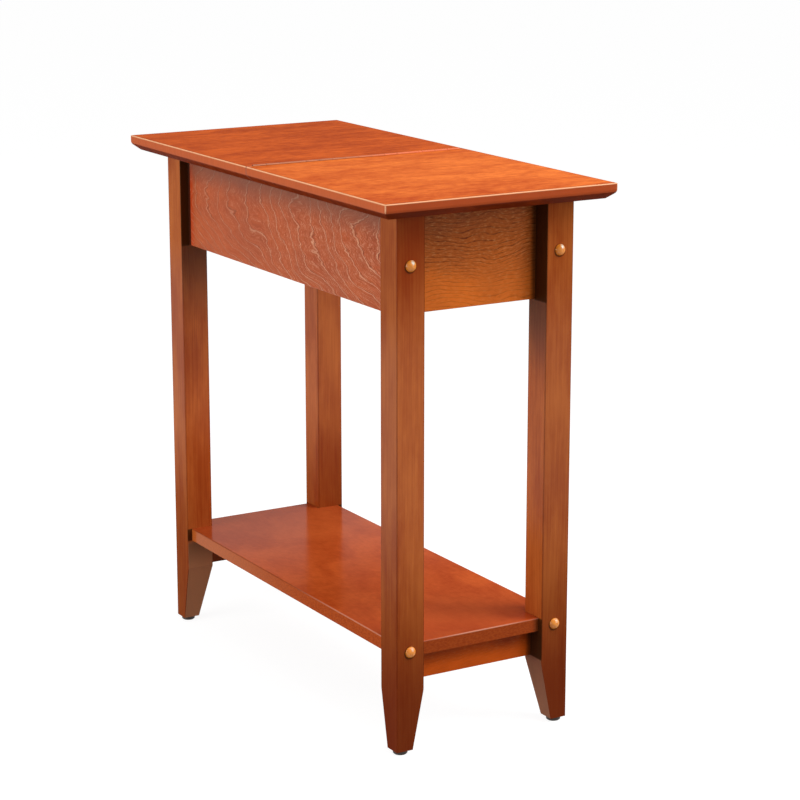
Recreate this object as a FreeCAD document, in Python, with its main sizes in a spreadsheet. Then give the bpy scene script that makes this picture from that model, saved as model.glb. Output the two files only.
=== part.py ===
import FreeCAD, Part
import math
import os
import re
import Sketcher

# Lift top end table, in millimetres.
# The origin is on the floor under the middle of the top, +Z is up, X runs across the narrow ends
# and Y along the long sides. The lifting leaf is the half of the top at -Y.

# Driving sizes

SIZES = {
    # Top: two equal leaves that meet at a seam across the middle
    "table_height": 610,
    "top_width": 286,
    "top_length": 610,
    "top_thickness": 17,
    "top_band": 9.5,
    "top_bevel_inset": 9,
    "top_bevel_ease": 6,
    "top_edge_ease": 1,
    "top_overhang": 33,
    "seam_gap": 0.8,
    "seam_chamfer": 1.2,
    # Legs: square, with the two inner faces tapered at the foot
    "leg_width": 34,
    "foot_width": 20,
    "taper_start": 74,
    "leg_edge_ease": 1,
    # Foot glides: round heads on a nail
    "glide_diameter": 16,
    "glide_height": 5,
    "glide_bevel": 1.2,
    "nail_diameter": 3,
    "nail_length": 16,
    "nail_fit": 0.1,
    # Aprons under the top; the end ones are flush with the inner faces of the legs
    "apron_height": 111,
    "apron_thickness": 15,
    "side_apron_setback": 10,
    "end_apron_thickness": 12,
    "end_apron_setback": 22,
    "apron_edge_ease": 0.8,
    # Compartment under the lifting leaf
    "divider_thickness": 15,
    "housing_depth": 5,
    "floor_thickness": 5,
    "floor_rise": 8,
    "groove_depth": 5,
    "board_fit": 0.2,
    # Shelf and the two short rails below it
    "shelf_height": 124.5,
    "shelf_thickness": 15,
    "shelf_setback": 6,
    "shelf_edge_ease": 1.2,
    "stretcher_height": 33,
    "stretcher_thickness": 12,
    "stretcher_setback": 22,
    # Knock-down bolts through the legs, with barrel nuts
    "bolt_diameter": 6,
    "bolt_length": 70,
    "bolt_head_diameter": 10,
    "bolt_head_height": 6,
    "bolt_fit": 0.3,
    "bolt_end_room": 2,
    "counterbore_depth": 14,
    "nut_diameter": 10,
    "nut_length": 10,
    "nut_depth": 38,
    "nut_fit": 0.1,
    # Button plugs over the bolt heads
    "plug_diameter": 12.6,
    "plug_dome": 4.5,
    "plug_tenon_diameter": 10.6,
    "plug_tenon_length": 6,
    "plug_fit": 0.1,
    # Dowels of the short aprons and rails
    "dowel_diameter": 6,
    "dowel_length": 30,
    "dowel_bevel": 1,
    "dowel_fit": 0.1,
    "dowel_end_room": 1,
    "apron_dowel_spread": 64,
    "stretcher_dowel_spread": 15,
    # Cleats that hold the fixed leaf down
    "cleat_width": 18,
    "cleat_height": 18,
    "cleat_end_gap": 12,
    "cleat_screw_inset": 30,
    "cleat_screw_stagger": 20,
    "screw_diameter": 3.5,
    "screw_length": 28,
    "screw_head_diameter": 7,
    "screw_head_height": 2.4,
    "screw_fit": 0.1,
    # Continuous hinge in the seam
    "hinge_margin": 8,
    "hinge_rise": 0.25,
    "knuckle_diameter": 3,
    "knuckle_pairs": 8,
    "knuckle_gap": 0.4,
    "knuckle_clear": 0.4,
    "pin_diameter": 1.6,
    "pin_fit": 0.05,
    "plate_thickness": 0.8,
    "plate_height": 12,
    "plate_gap": 0.4,
    "plate_fit": 0.2,
    "hinge_screws": 6,
    "hinge_screw_drop": 7.5,
    "hinge_screw_diameter": 2,
    "hinge_screw_head": 3.6,
    "hinge_screw_head_height": 0.5,
    "hinge_screw_length": 12,
    # How far a cut runs past the face that it leaves
    "cut_past": 1,
}

# Places worked out from the driving sizes

DERIVED = {
    "leg_top": "table_height - top_thickness",
    "bevel_height": "top_thickness - top_band",
    "leg_out_x": "top_width / 2 - top_overhang",
    "leg_out_y": "top_length / 2 - top_overhang",
    "leg_in_x": "leg_out_x - leg_width",
    "leg_in_y": "leg_out_y - leg_width",
    "leg_mid_x": "leg_out_x - leg_width / 2",
    "leg_mid_y": "leg_out_y - leg_width / 2",
    "foot_shift": "(leg_width - foot_width) / 2",
    "apron_bottom": "leg_top - apron_height",
    "side_apron_mid": "leg_out_x - side_apron_setback - apron_thickness / 2",
    "side_apron_in": "side_apron_mid - apron_thickness / 2",
    "end_apron_mid": "leg_out_y - end_apron_setback - end_apron_thickness / 2",
    "end_apron_in": "end_apron_mid - end_apron_thickness / 2",
    "upper_bolt_z": "leg_top - apron_height / 2",
    "lower_bolt_z": "shelf_height - shelf_thickness / 2",
    "shelf_bottom": "shelf_height - shelf_thickness",
    "shelf_half_x": "leg_out_x - shelf_setback",
    "shelf_half_y": "leg_out_y - shelf_setback",
    "stretcher_bottom": "shelf_bottom - stretcher_height",
    "stretcher_mid_y": "leg_out_y - stretcher_setback - stretcher_thickness / 2",
    "stretcher_mid_z": "stretcher_bottom + stretcher_height / 2",
    "bolt_seat_y": "leg_out_y - counterbore_depth",
    "bolt_hole_end": "bolt_seat_y - bolt_length - bolt_end_room",
    "bolt_offset": "leg_mid_x - side_apron_mid",
    "nut_y": "leg_in_y - nut_depth",
    "bolt_hole_radius": "bolt_diameter / 2 + bolt_fit",
    "counterbore_radius": "plug_tenon_diameter / 2 + plug_fit",
    "nut_hole_radius": "nut_diameter / 2 + nut_fit",
    "nut_hole_reach": "nut_length / 2 + nut_fit",
    "dowel_hole_radius": "dowel_diameter / 2 + dowel_fit",
    "dowel_hole_depth": "dowel_length / 2 + dowel_end_room",
    "floor_bottom": "apron_bottom + floor_rise",
    "groove_height": "floor_thickness + board_fit",
    "cleat_mid_x": "side_apron_in - cleat_width / 2",
    "cleat_length": "leg_in_y - divider_thickness / 2 - 2 * cleat_end_gap",
    "cleat_mid_y": "divider_thickness / 2 + cleat_end_gap + cleat_length / 2",
    "cleat_mid_z": "leg_top - cleat_height / 2",
    "cleat_screw_reach": "cleat_length / 2 - cleat_screw_inset",
    "screw_hole_radius": "screw_diameter / 2 + screw_fit",
    "screw_head_bore": "screw_head_diameter / 2 + screw_fit",
    "hinge_z": "table_height + hinge_rise",
    "hinge_length": "top_width - 2 * hinge_margin",
    "knuckle_pitch": "hinge_length / (2 * knuckle_pairs)",
    "plate_back": "plate_gap / 2 + plate_thickness",
    "plate_notch": "knuckle_diameter / 2 + knuckle_clear",
    "seam_cut": "plate_back + seam_chamfer",
    "hinge_screw_pitch": "hinge_length / hinge_screws",
    "hinge_screw_hole": "hinge_screw_diameter / 2 + screw_fit",
}

doc = FreeCAD.newDocument("lift_top_end_table")
sheet = doc.addObject("Spreadsheet::Sheet", "sizes")
for row, (name, entry) in enumerate([*SIZES.items(), *DERIVED.items()], start=1):
    sheet.set(f"A{row}", name)
    sheet.set(f"B{row}", f"={entry}" if name in DERIVED else str(entry))
    sheet.setAlias(f"B{row}", name)
doc.recompute()

nodes = {}

# Two places nearer than this are one
NEAR = 1e-6


# Helpers


def sized(words):
    """An expression in the names of the sheet, written as the document reads it."""
    return re.sub(r"[a-z_]+", lambda found: f"sizes.{found.group()}", words)


def place(piece, x="0", y="0", z="0", turn=0, lean=0, tilt=0):
    """Set a piece down at x, y, z, tilted about X, then leant about Y and turned about Z, in degrees."""
    piece.Placement = FreeCAD.Placement(FreeCAD.Vector(), FreeCAD.Rotation(turn, lean, tilt))
    piece.setExpression("Placement.Base.x", sized(x))
    piece.setExpression("Placement.Base.y", sized(y))
    piece.setExpression("Placement.Base.z", sized(z))


def keep(piece, label):
    """Name a finished sub-part, which is written to a file of that name."""
    piece.Label = label
    nodes[label] = piece
    return piece


def new_body(name):
    return doc.addObject("PartDesign::Body", name)


def sketch_on(body, name, plane, along="0"):
    """A sketch on one of the body's own planes, moved to a place along the third axis."""
    sketch = body.newObject("Sketcher::SketchObject", name)
    origin_plane = [f for f in body.Origin.OriginFeatures if f.Role == f"{plane}_Plane"]
    sketch.AttachmentSupport = [(origin_plane[0], "")]
    sketch.MapMode = "FlatFace"
    # The XZ plane faces -Y, so a place along Y counts the other way there
    sign = "-" if plane == "XZ" else ""
    sketch.setExpression("AttachmentOffset.Base.z", sized(f"{sign}({along})"))
    return sketch


def hold(sketch, kind, geometry, point, words, start=1.0):
    """Tie one coordinate of a sketch point to an expression, from a first value near it."""
    index = sketch.addConstraint(Sketcher.Constraint(kind, -1, 1, geometry, point, start))
    sketch.renameConstraint(index, f"held_{index}")
    sketch.setExpression(f"Constraints.held_{index}", sized(words))


def outline(sketch, corners):
    """A closed outline of straight edges, each corner held by two expressions."""
    count = len(corners)
    step = 2 * math.pi / count
    ring = [FreeCAD.Vector(math.cos(i * step), math.sin(i * step), 0) for i in range(count)]
    for i in range(count):
        sketch.addGeometry(Part.LineSegment(ring[i], ring[(i + 1) % count]))
    for i in range(count):
        sketch.addConstraint(Sketcher.Constraint("Coincident", i, 2, (i + 1) % count, 1))
    for i, (across, up) in enumerate(corners):
        hold(sketch, "DistanceX", i, 1, across)
        hold(sketch, "DistanceY", i, 1, up)


def rectangle(left, right, low, high):
    return [(left, low), (right, low), (right, high), (left, high)]


def between(feature, low, high):
    """Make a pad or pocket reach from low to high about its sketch in the middle."""
    feature.SideType = "Symmetric"
    feature.setExpression("Length", sized(f"({high}) - ({low})"))


def shape_outline(body, kind, name, plane, corners, low, high):
    sketch = sketch_on(body, f"{name}_outline", plane, f"(({low}) + ({high})) / 2")
    outline(sketch, corners)
    feature = body.newObject(kind, name)
    feature.Profile = sketch
    between(feature, low, high)
    return feature


def pad(body, name, plane, corners, low, high):
    return shape_outline(body, "PartDesign::Pad", name, plane, corners, low, high)


def pocket(body, name, plane, corners, low, high):
    return shape_outline(body, "PartDesign::Pocket", name, plane, corners, low, high)


def circle(sketch, across, up, radius):
    sketch.addGeometry(Part.Circle(FreeCAD.Vector(1, 1, 0), FreeCAD.Vector(0, 0, 1), 1))
    hold(sketch, "DistanceX", 0, 3, across)
    hold(sketch, "DistanceY", 0, 3, up)
    index = sketch.addConstraint(Sketcher.Constraint("Radius", 0, 1.0))
    sketch.renameConstraint(index, "radius")
    sketch.setExpression("Constraints.radius", sized(radius))


def bore(body, name, plane, across, up, radius, low, high):
    """A round hole from low to high along the axis that the plane leaves out."""
    sketch = sketch_on(body, f"{name}_circle", plane, f"(({low}) + ({high})) / 2")
    circle(sketch, across, up, radius)
    hole = body.newObject("PartDesign::Pocket", name)
    hole.Profile = sketch
    between(hole, low, high)
    return hole


def ease(body, name, radius, chosen):
    """Round the edges that the test picks out, by the named radius."""
    doc.recompute()
    base = body.Tip
    picked = [f"Edge{i}" for i, edge in enumerate(base.Shape.Edges, start=1) if chosen(edge)]
    fillet = body.newObject("PartDesign::Fillet", name)
    fillet.Base = (base, picked)
    fillet.setExpression("Radius", sized(radius))
    return fillet


def runs_along(edge, axis):
    """Whether a straight edge runs along X, Y or Z (0, 1 or 2)."""
    ends = [vertex.Point for vertex in edge.Vertexes]
    if len(ends) < 2:
        return False
    reach = ends[1] - ends[0]
    return abs(abs(reach[axis]) - reach.Length) < NEAR


def low_first(side, bottom, mouth):
    """The ends of a hole that opens on the + side ("") or on the - side ("-"), lower one first."""
    return (bottom, mouth) if side == "" else (mouth, bottom)


def turned(name, profile):
    """A piece turned about its own Z axis from an outline of radius and height."""
    body = new_body(name)
    sketch = sketch_on(body, f"{name}_profile", "XZ")
    outline(sketch, profile)
    spin = body.newObject("PartDesign::Revolution", f"{name}_turned")
    spin.Profile = sketch
    spin.ReferenceAxis = (sketch, ["V_Axis"])
    spin.Angle = 360
    return body


def group(label, pieces):
    """Like fasteners kept together in one sub-part."""
    compound = doc.addObject("Part::Compound", label)
    compound.Links = pieces
    return keep(compound, label)


# Top leaves: the same board twice, turned end for end, with a rebate for the hinge in the seam


def top_leaf(label, turn):
    body = new_body(label)
    seam, end = "-seam_gap / 2", "-top_length / 2"
    side = "top_width / 2"
    pad(body, "band", "XY", rectangle(f"-{side}", side, end, seam), "bevel_height", "top_thickness")

    # The under-bevel narrows the leaf on its three outer sides
    upper = sketch_on(body, "bevel_upper", "XY", "bevel_height")
    outline(upper, rectangle(f"-{side}", side, end, seam))
    lower = sketch_on(body, "bevel_lower", "XY")
    inset = "top_bevel_inset"
    outline(lower, rectangle(f"-{side} + {inset}", f"{side} - {inset}", f"{end} + {inset}", seam))
    bevel = body.newObject("PartDesign::AdditiveLoft", "bevel")
    bevel.Profile = upper
    bevel.Sections = [lower]
    bevel.Ruled = True

    # The arris above the bevel is well rounded, then the outer top arris and the corners are eased
    doc.recompute()
    far_y = -sheet.top_length / 2
    half = sheet.top_width / 2

    def outer_arris(edge, height):
        middle = edge.CenterOfMass
        outside = abs(middle.y - far_y) < NEAR or abs(abs(middle.x) - half) < NEAR
        return abs(middle.z - height) < NEAR and outside

    def corner(edge):
        middle = edge.CenterOfMass
        return abs(middle.y - far_y) < NEAR and abs(abs(middle.x) - half) < NEAR

    ease(body, "eased_bevel", "top_bevel_ease", lambda edge: outer_arris(edge, sheet.bevel_height))
    ease(body, "eased_arris", "top_edge_ease",
         lambda edge: outer_arris(edge, sheet.top_thickness) or corner(edge))

    # Seam: a stopped V groove for the knuckles and a rebate behind the hinge plate
    past = "top_thickness + cut_past"
    plate_half = "(hinge_length / 2 + plate_fit)"
    groove = [("0", past), ("-seam_cut - cut_past", past), ("0", "top_thickness - seam_cut")]
    pocket(body, "seam_groove", "YZ", groove, f"-{plate_half}", plate_half)
    plate_low = "hinge_z - leg_top - plate_height - plate_fit"
    rebate = rectangle("-plate_back", "0", plate_low, past)
    pocket(body, "hinge_rebate", "YZ", rebate, f"-{plate_half}", plate_half)
    for i in range(SIZES["hinge_screws"]):
        bore(body, f"hinge_pilot_{i + 1}", "XZ", f"hinge_screw_pitch * ({i} + 0.5) - hinge_length / 2",
             "hinge_z - leg_top - hinge_screw_drop", "hinge_screw_hole",
             "-plate_gap / 2 - hinge_screw_length - screw_fit", "0")
    place(body, z="leg_top", turn=turn)
    return keep(body, label)


top_leaf("lift_leaf", 0)
fixed_leaf = top_leaf("rear_top_leaf", 180)
for side_name, side_sign in (("left", ""), ("right", "-")):
    for end_name, end_sign in (("near", "+"), ("far", "-")):
        # The fixed leaf is drawn turned end for end, so both signs are reversed here
        bore(fixed_leaf, f"cleat_pilot_{side_name}_{end_name}", "XY", f"{side_sign}cleat_mid_x",
             f"-cleat_mid_y {end_sign} cleat_screw_reach", "screw_hole_radius",
             "0", "screw_length - cleat_height + screw_fit")


# Legs: drawn about their own axis, with the inner faces at +Y and at the given side of X


def leg(label, inner, turn, x, y):
    body = new_body(label)
    half = "leg_width / 2"
    pad(body, "post", "XY", rectangle(f"-{half}", half, f"-{half}", half), "glide_height", "leg_top")
    ease(body, "eased_corners", "leg_edge_ease", lambda edge: runs_along(edge, 2))

    toe = "foot_width - leg_width / 2"
    wide = "leg_width"
    across = [(f"{inner}({half} + cut_past)", "taper_start"), (f"{inner}{half}", "taper_start"),
              (f"{inner}({toe})", "glide_height"), (f"{inner}({half} + cut_past)", "glide_height")]
    pocket(body, "taper_across", "XZ", across, f"-{wide}", wide)
    along = [(f"{half} + cut_past", "taper_start"), (half, "taper_start"),
             (toe, "glide_height"), (f"{half} + cut_past", "glide_height")]
    pocket(body, "taper_along", "YZ", along, f"-{wide}", wide)

    for level in ("upper", "lower"):
        height = f"{level}_bolt_z"
        bore(body, f"{level}_bolt_hole", "XZ", "0", height, "bolt_hole_radius",
             f"-{half} - cut_past", f"{half} + cut_past")
        bore(body, f"{level}_counterbore", "XZ", "0", height, "counterbore_radius",
             f"-{half} - cut_past", f"-{half} + counterbore_depth")

    rails = (("apron", "leg_mid_y - end_apron_mid", "upper_bolt_z"),
             ("stretcher", "leg_mid_y - stretcher_mid_y", "stretcher_mid_z"))
    for rail, setback, height in rails:
        for tag, sign in (("low", "-"), ("high", "+")):
            ends = low_first(inner, f"{inner}({half} - dowel_hole_depth)", f"{inner}({half} + cut_past)")
            bore(body, f"{rail}_dowel_hole_{tag}", "YZ", setback,
                 f"{height} {sign} {rail}_dowel_spread / 2", "dowel_hole_radius", *ends)

    outer = "" if inner == "-" else "-"
    bore(body, "nail_hole", "XY", f"{outer}foot_shift", "-foot_shift", "nail_diameter / 2 + nail_fit",
         "glide_height - cut_past", "glide_height + nail_length + nail_fit")
    place(body, x, y, turn=turn)
    return keep(body, label)


leg("front_left_leg", "", 0, "-leg_mid_x", "-leg_mid_y")
leg("front_right_leg", "-", 0, "leg_mid_x", "-leg_mid_y")
leg("rear_left_leg", "-", 180, "-leg_mid_x", "leg_mid_y")
leg("rear_right_leg", "", 180, "leg_mid_x", "leg_mid_y")


# Foot glides: a bevelled head on a nail


def glide(label, side, end):
    profile = [("0", "0"), ("glide_diameter / 2 - glide_bevel", "0"),
               ("glide_diameter / 2", "glide_bevel"), ("glide_diameter / 2", "glide_height"),
               ("nail_diameter / 2", "glide_height"),
               ("nail_diameter / 2", "glide_height + nail_length"), ("0", "glide_height + nail_length")]
    body = turned(label, profile)
    place(body, f"{side}(leg_mid_x + foot_shift)", f"{end}(leg_mid_y + foot_shift)")
    keep(body, label)


# Side aprons: long boards between the legs, with a groove for the floor and a housing for the divider


def side_apron(label, inner):
    """The inner face is at the given side of X; the front is at -Y."""
    body = new_body(label)
    half, reach = "apron_thickness / 2", "leg_in_y"
    pad(body, "board", "XY", rectangle(f"-{half}", half, f"-{reach}", reach), "0", "apron_height")
    ease(body, "eased_foot", "apron_edge_ease",
         lambda edge: runs_along(edge, 1) and edge.CenterOfMass.z < NEAR)
    outer = "-" if inner == "" else ""
    mouth = f"{inner}({half} + cut_past)"

    def inside(depth):
        return low_first(inner, f"{inner}({half} - {depth})", mouth)

    groove = rectangle(f"-{reach} - cut_past", "0", "floor_rise", "floor_rise + groove_height")
    pocket(body, "floor_groove", "YZ", groove, *inside("groove_depth"))
    wide = "(divider_thickness / 2 + board_fit)"
    housing = rectangle(f"-{wide}", wide, "-cut_past", "apron_height + cut_past")
    pocket(body, "divider_housing", "YZ", housing, *inside("housing_depth"))

    # The bolts lie a little to the outer side of the middle of the board
    nut_bottom = f"{outer}(bolt_offset + nut_hole_reach)"
    bolt_ends = {"front": ("-leg_in_y - cut_past", "-bolt_hole_end"),
                 "rear": ("bolt_hole_end", "leg_in_y + cut_past")}
    for tag, sign in (("front", "-"), ("rear", "")):
        bore(body, f"{tag}_bolt_hole", "XZ", f"{outer}bolt_offset", "apron_height / 2",
             "bolt_hole_radius", *bolt_ends[tag])
        bore(body, f"{tag}_nut_hole", "YZ", f"{sign}nut_y", "apron_height / 2",
             "nut_hole_radius", *low_first(inner, nut_bottom, mouth))

    for tag, sign in (("near", "-"), ("far", "+")):
        bore(body, f"cleat_pilot_{tag}", "YZ",
             f"cleat_mid_y {sign} (cleat_screw_reach - cleat_screw_stagger)",
             "cleat_mid_z - apron_bottom", "screw_hole_radius",
             *inside("(screw_length - cleat_width + screw_fit)"))
    place(body, f"{outer}side_apron_mid", z="apron_bottom")
    keep(body, label)


side_apron("left_side_apron", "")
side_apron("right_side_apron", "-")


# Short boards between two legs: the end aprons and the rails under the shelf


def cross_board(label, thickness, height, spread):
    """A board across the narrow end, with two dowel holes in each end."""
    body = new_body(label)
    half, reach = f"{thickness} / 2", "leg_in_x"
    pad(body, "board", "XY", rectangle(f"-{reach}", reach, f"-{half}", half), "0", height)
    ease(body, "eased_foot", "apron_edge_ease",
         lambda edge: runs_along(edge, 0) and edge.CenterOfMass.z < NEAR)
    for tag, sign in (("low", "-"), ("high", "+")):
        up = f"{height} / 2 {sign} {spread} / 2"
        bore(body, f"left_dowel_hole_{tag}", "YZ", "0", up, "dowel_hole_radius",
             f"-{reach} - cut_past", f"-{reach} + dowel_hole_depth")
        bore(body, f"right_dowel_hole_{tag}", "YZ", "0", up, "dowel_hole_radius",
             f"{reach} - dowel_hole_depth", f"{reach} + cut_past")
    return keep(body, label)


front_apron = cross_board("front_apron", "end_apron_thickness", "apron_height", "apron_dowel_spread")
pocket(front_apron, "floor_groove", "XZ",
       rectangle("-leg_in_x - cut_past", "leg_in_x + cut_past", "floor_rise", "floor_rise + groove_height"),
       "end_apron_thickness / 2 - groove_depth", "end_apron_thickness / 2 + cut_past")
place(front_apron, y="-end_apron_mid", z="apron_bottom")

rear_apron = cross_board("rear_apron", "end_apron_thickness", "apron_height", "apron_dowel_spread")
place(rear_apron, y="end_apron_mid", z="apron_bottom", turn=180)

for end_name, end_sign, end_turn in (("front", "-", 0), ("rear", "", 180)):
    rail = cross_board(f"{end_name}_stretcher", "stretcher_thickness", "stretcher_height",
                       "stretcher_dowel_spread")
    place(rail, y=f"{end_sign}stretcher_mid_y", z="stretcher_bottom", turn=end_turn)


# Compartment: the divider under the seam and the floor in its grooves

divider = new_body("divider_panel")
divider_half = "divider_thickness / 2"
divider_reach = "side_apron_in + housing_depth - board_fit"
pad(divider, "board", "XY",
    rectangle(f"-({divider_reach})", divider_reach, f"-{divider_half}", divider_half), "0", "apron_height")
pocket(divider, "floor_groove", "XZ",
       rectangle(f"-({divider_reach}) - cut_past", f"{divider_reach} + cut_past",
                 "floor_rise", "floor_rise + groove_height"),
       f"-{divider_half} - cut_past", f"-{divider_half} + groove_depth")
place(divider, z="apron_bottom")
keep(divider, "divider_panel")

floor = new_body("compartment_floor")
floor_side = "(side_apron_in + groove_depth - board_fit)"
floor_front = "(end_apron_in + groove_depth - board_fit)"
floor_back = "(divider_thickness / 2 - groove_depth + board_fit)"
pad(floor, "panel", "XY",
    rectangle(f"-{floor_side}", floor_side, f"-{floor_front}", f"-{floor_back}"), "0", "floor_thickness")
notch_front, notch_back = f"-{floor_front} - cut_past", "-leg_in_y + board_fit"
for side_name, inner_edge, outer_edge in (
        ("left", "-leg_in_x + board_fit", f"-{floor_side} - cut_past"),
        ("right", "leg_in_x - board_fit", f"{floor_side} + cut_past")):
    pocket(floor, f"{side_name}_leg_notch", "XY",
           rectangle(inner_edge, outer_edge, notch_front, notch_back),
           "-cut_past", "floor_thickness + cut_past")
place(floor, z="floor_bottom")
keep(floor, "compartment_floor")


# Shelf: one board notched round the four legs

shelf = new_body("lower_shelf")
pad(shelf, "board", "XY", rectangle("-shelf_half_x", "shelf_half_x", "-shelf_half_y", "shelf_half_y"),
    "0", "shelf_thickness")
ease(shelf, "eased_rim", "shelf_edge_ease",
     lambda edge: edge.CenterOfMass.z > sheet.shelf_thickness - NEAR)
for side_name, side_sign in (("left", "-"), ("right", "")):
    for end_name, end_sign in (("front", "-"), ("rear", "")):
        corner = f"{end_name}_{side_name}"
        pocket(shelf, f"{corner}_notch", "XY",
               rectangle(f"{side_sign}(leg_in_x - board_fit)", f"{side_sign}(shelf_half_x + cut_past)",
                         f"{end_sign}leg_in_y", f"{end_sign}(shelf_half_y + cut_past)"),
               "-cut_past", "shelf_thickness + cut_past")
        bolt_ends = low_first(end_sign, f"{end_sign}bolt_hole_end", f"{end_sign}(leg_in_y + cut_past)")
        bore(shelf, f"{corner}_bolt_hole", "XZ", f"{side_sign}leg_mid_x", "shelf_thickness / 2",
             "bolt_hole_radius", *bolt_ends)
        bore(shelf, f"{corner}_nut_hole", "XY", f"{side_sign}leg_mid_x", f"{end_sign}nut_y",
             "nut_hole_radius", "-cut_past", "shelf_thickness / 2 + nut_hole_reach")
place(shelf, z="shelf_bottom")
keep(shelf, "lower_shelf")


# Cleats under the fixed leaf, screwed up into it and out into the side aprons


def cleat(label, inner):
    body = new_body(label)
    half_x, half_y, half_z = "cleat_width / 2", "cleat_length / 2", "cleat_height / 2"
    pad(body, "strip", "XY", rectangle(f"-{half_x}", half_x, f"-{half_y}", half_y), f"-{half_z}", half_z)
    outer = "-" if inner == "" else ""
    mouth = f"{inner}({half_x} + cut_past)"
    back = f"{outer}({half_x} + cut_past)"
    seat = f"{inner}({half_x} - screw_head_height)"
    for tag, sign in (("near", "-"), ("far", "")):
        up_y = f"{sign}cleat_screw_reach"
        side_y = f"{sign}(cleat_screw_reach - cleat_screw_stagger)"
        bore(body, f"top_screw_hole_{tag}", "XY", "0", up_y, "screw_hole_radius",
             f"-{half_z} - cut_past", f"{half_z} + cut_past")
        bore(body, f"top_screw_seat_{tag}", "XY", "0", up_y, "screw_head_bore",
             f"-{half_z} - cut_past", f"-{half_z} + screw_head_height")
        bore(body, f"side_screw_hole_{tag}", "YZ", side_y, "0", "screw_hole_radius",
             *low_first(inner, back, mouth))
        bore(body, f"side_screw_seat_{tag}", "YZ", side_y, "0", "screw_head_bore",
             *low_first(inner, seat, mouth))
    place(body, f"{outer}cleat_mid_x", "cleat_mid_y", "cleat_mid_z")
    keep(body, label)


cleat("left_top_cleat", "")
cleat("right_top_cleat", "-")


def flat_screw(name, head, head_height, shank, length):
    """A cylinder-headed wood screw pointing along its own +Z, with its head's face at 0."""
    return turned(name, [("0", "0"), (f"{head} / 2", "0"), (f"{head} / 2", head_height),
                         (f"{shank} / 2", head_height), (f"{shank} / 2", f"{length} - {shank}"),
                         ("0", length)])


def cleat_screw(name):
    return flat_screw(name, "screw_head_diameter", "screw_head_height", "screw_diameter", "screw_length")


cleat_top_screws, cleat_side_screws = [], []
for side_name, side_sign, point_turn in (("left", "-", 90), ("right", "", -90)):
    for end_name, end_sign in (("near", "-"), ("far", "+")):
        screw = cleat_screw(f"{side_name}_{end_name}_top_screw")
        place(screw, f"{side_sign}cleat_mid_x", f"cleat_mid_y {end_sign} cleat_screw_reach",
              "leg_top - cleat_height")
        cleat_top_screws.append(screw)
        screw = cleat_screw(f"{side_name}_{end_name}_side_screw")
        place(screw, f"{side_sign}(side_apron_in - cleat_width)",
              f"cleat_mid_y {end_sign} (cleat_screw_reach - cleat_screw_stagger)", "cleat_mid_z",
              turn=point_turn, tilt=-90)
        cleat_side_screws.append(screw)
group("cleat_top_screws", cleat_top_screws)
group("cleat_side_screws", cleat_side_screws)


# Bolts, barrel nuts and button plugs at the eight places on the legs


def leg_bolt(name):
    """A cylinder-headed bolt pointing along its own +Z, seated at 0."""
    return turned(name, [("0", "-bolt_head_height"), ("bolt_head_diameter / 2", "-bolt_head_height"),
                         ("bolt_head_diameter / 2", "0"), ("bolt_diameter / 2", "0"),
                         ("bolt_diameter / 2", "bolt_length"), ("0", "bolt_length")])


def barrel_nut(name):
    """A short round bar along its own Z with the bolt's hole across it, along Y."""
    body = turned(name, [("0", "-nut_length / 2"), ("nut_diameter / 2", "-nut_length / 2"),
                         ("nut_diameter / 2", "nut_length / 2"), ("0", "nut_length / 2")])
    bore(body, f"{name}_thread", "XZ", "0", "0", "bolt_diameter / 2 + nut_fit",
         "-nut_diameter", "nut_diameter")
    return body


def button_plug(label):
    """A domed button that faces along its own +Z, with a tenon behind it."""
    body = new_body(label)
    sketch = sketch_on(body, "profile", "XZ")
    radius, dome = sheet.plug_diameter / 2, sheet.plug_dome
    tenon, length = sheet.plug_tenon_diameter / 2, sheet.plug_tenon_length
    sphere = (radius**2 + dome**2) / (2 * dome)
    start = math.asin(radius / sphere)
    arc = Part.ArcOfCircle(
        Part.Circle(FreeCAD.Vector(0, dome - sphere, 0), FreeCAD.Vector(0, 0, 1), sphere),
        math.pi / 2 - start, math.pi / 2)
    sketch.addGeometry(arc)
    path = [(0, dome), (0, -length), (tenon, -length), (tenon, 0), (radius, 0)]
    corners = [FreeCAD.Vector(x, y, 0) for x, y in path]
    for i in range(4):
        sketch.addGeometry(Part.LineSegment(corners[i], corners[i + 1]))
    for i in range(4):
        sketch.addConstraint(Sketcher.Constraint("Coincident", i, 2, i + 1, 1))
    sketch.addConstraint(Sketcher.Constraint("Coincident", 4, 2, 0, 1))
    sketch.addConstraint(Sketcher.Constraint("PointOnObject", 0, 3, -2))
    held = [("0", "plug_dome"), ("0", "-plug_tenon_length"),
            ("plug_tenon_diameter / 2", "-plug_tenon_length"), ("plug_tenon_diameter / 2", "0")]
    for i, (across, up) in enumerate(held):
        hold(sketch, "DistanceX", i + 1, 1, across, corners[i].x)
        hold(sketch, "DistanceY", i + 1, 1, up, corners[i].y)
    hold(sketch, "DistanceX", 4, 2, "plug_diameter / 2", radius)
    hold(sketch, "DistanceY", 4, 2, "0", 0.0)
    spin = body.newObject("PartDesign::Revolution", "turned")
    spin.Profile = sketch
    spin.ReferenceAxis = (sketch, ["V_Axis"])
    spin.Angle = 360
    return body


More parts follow.
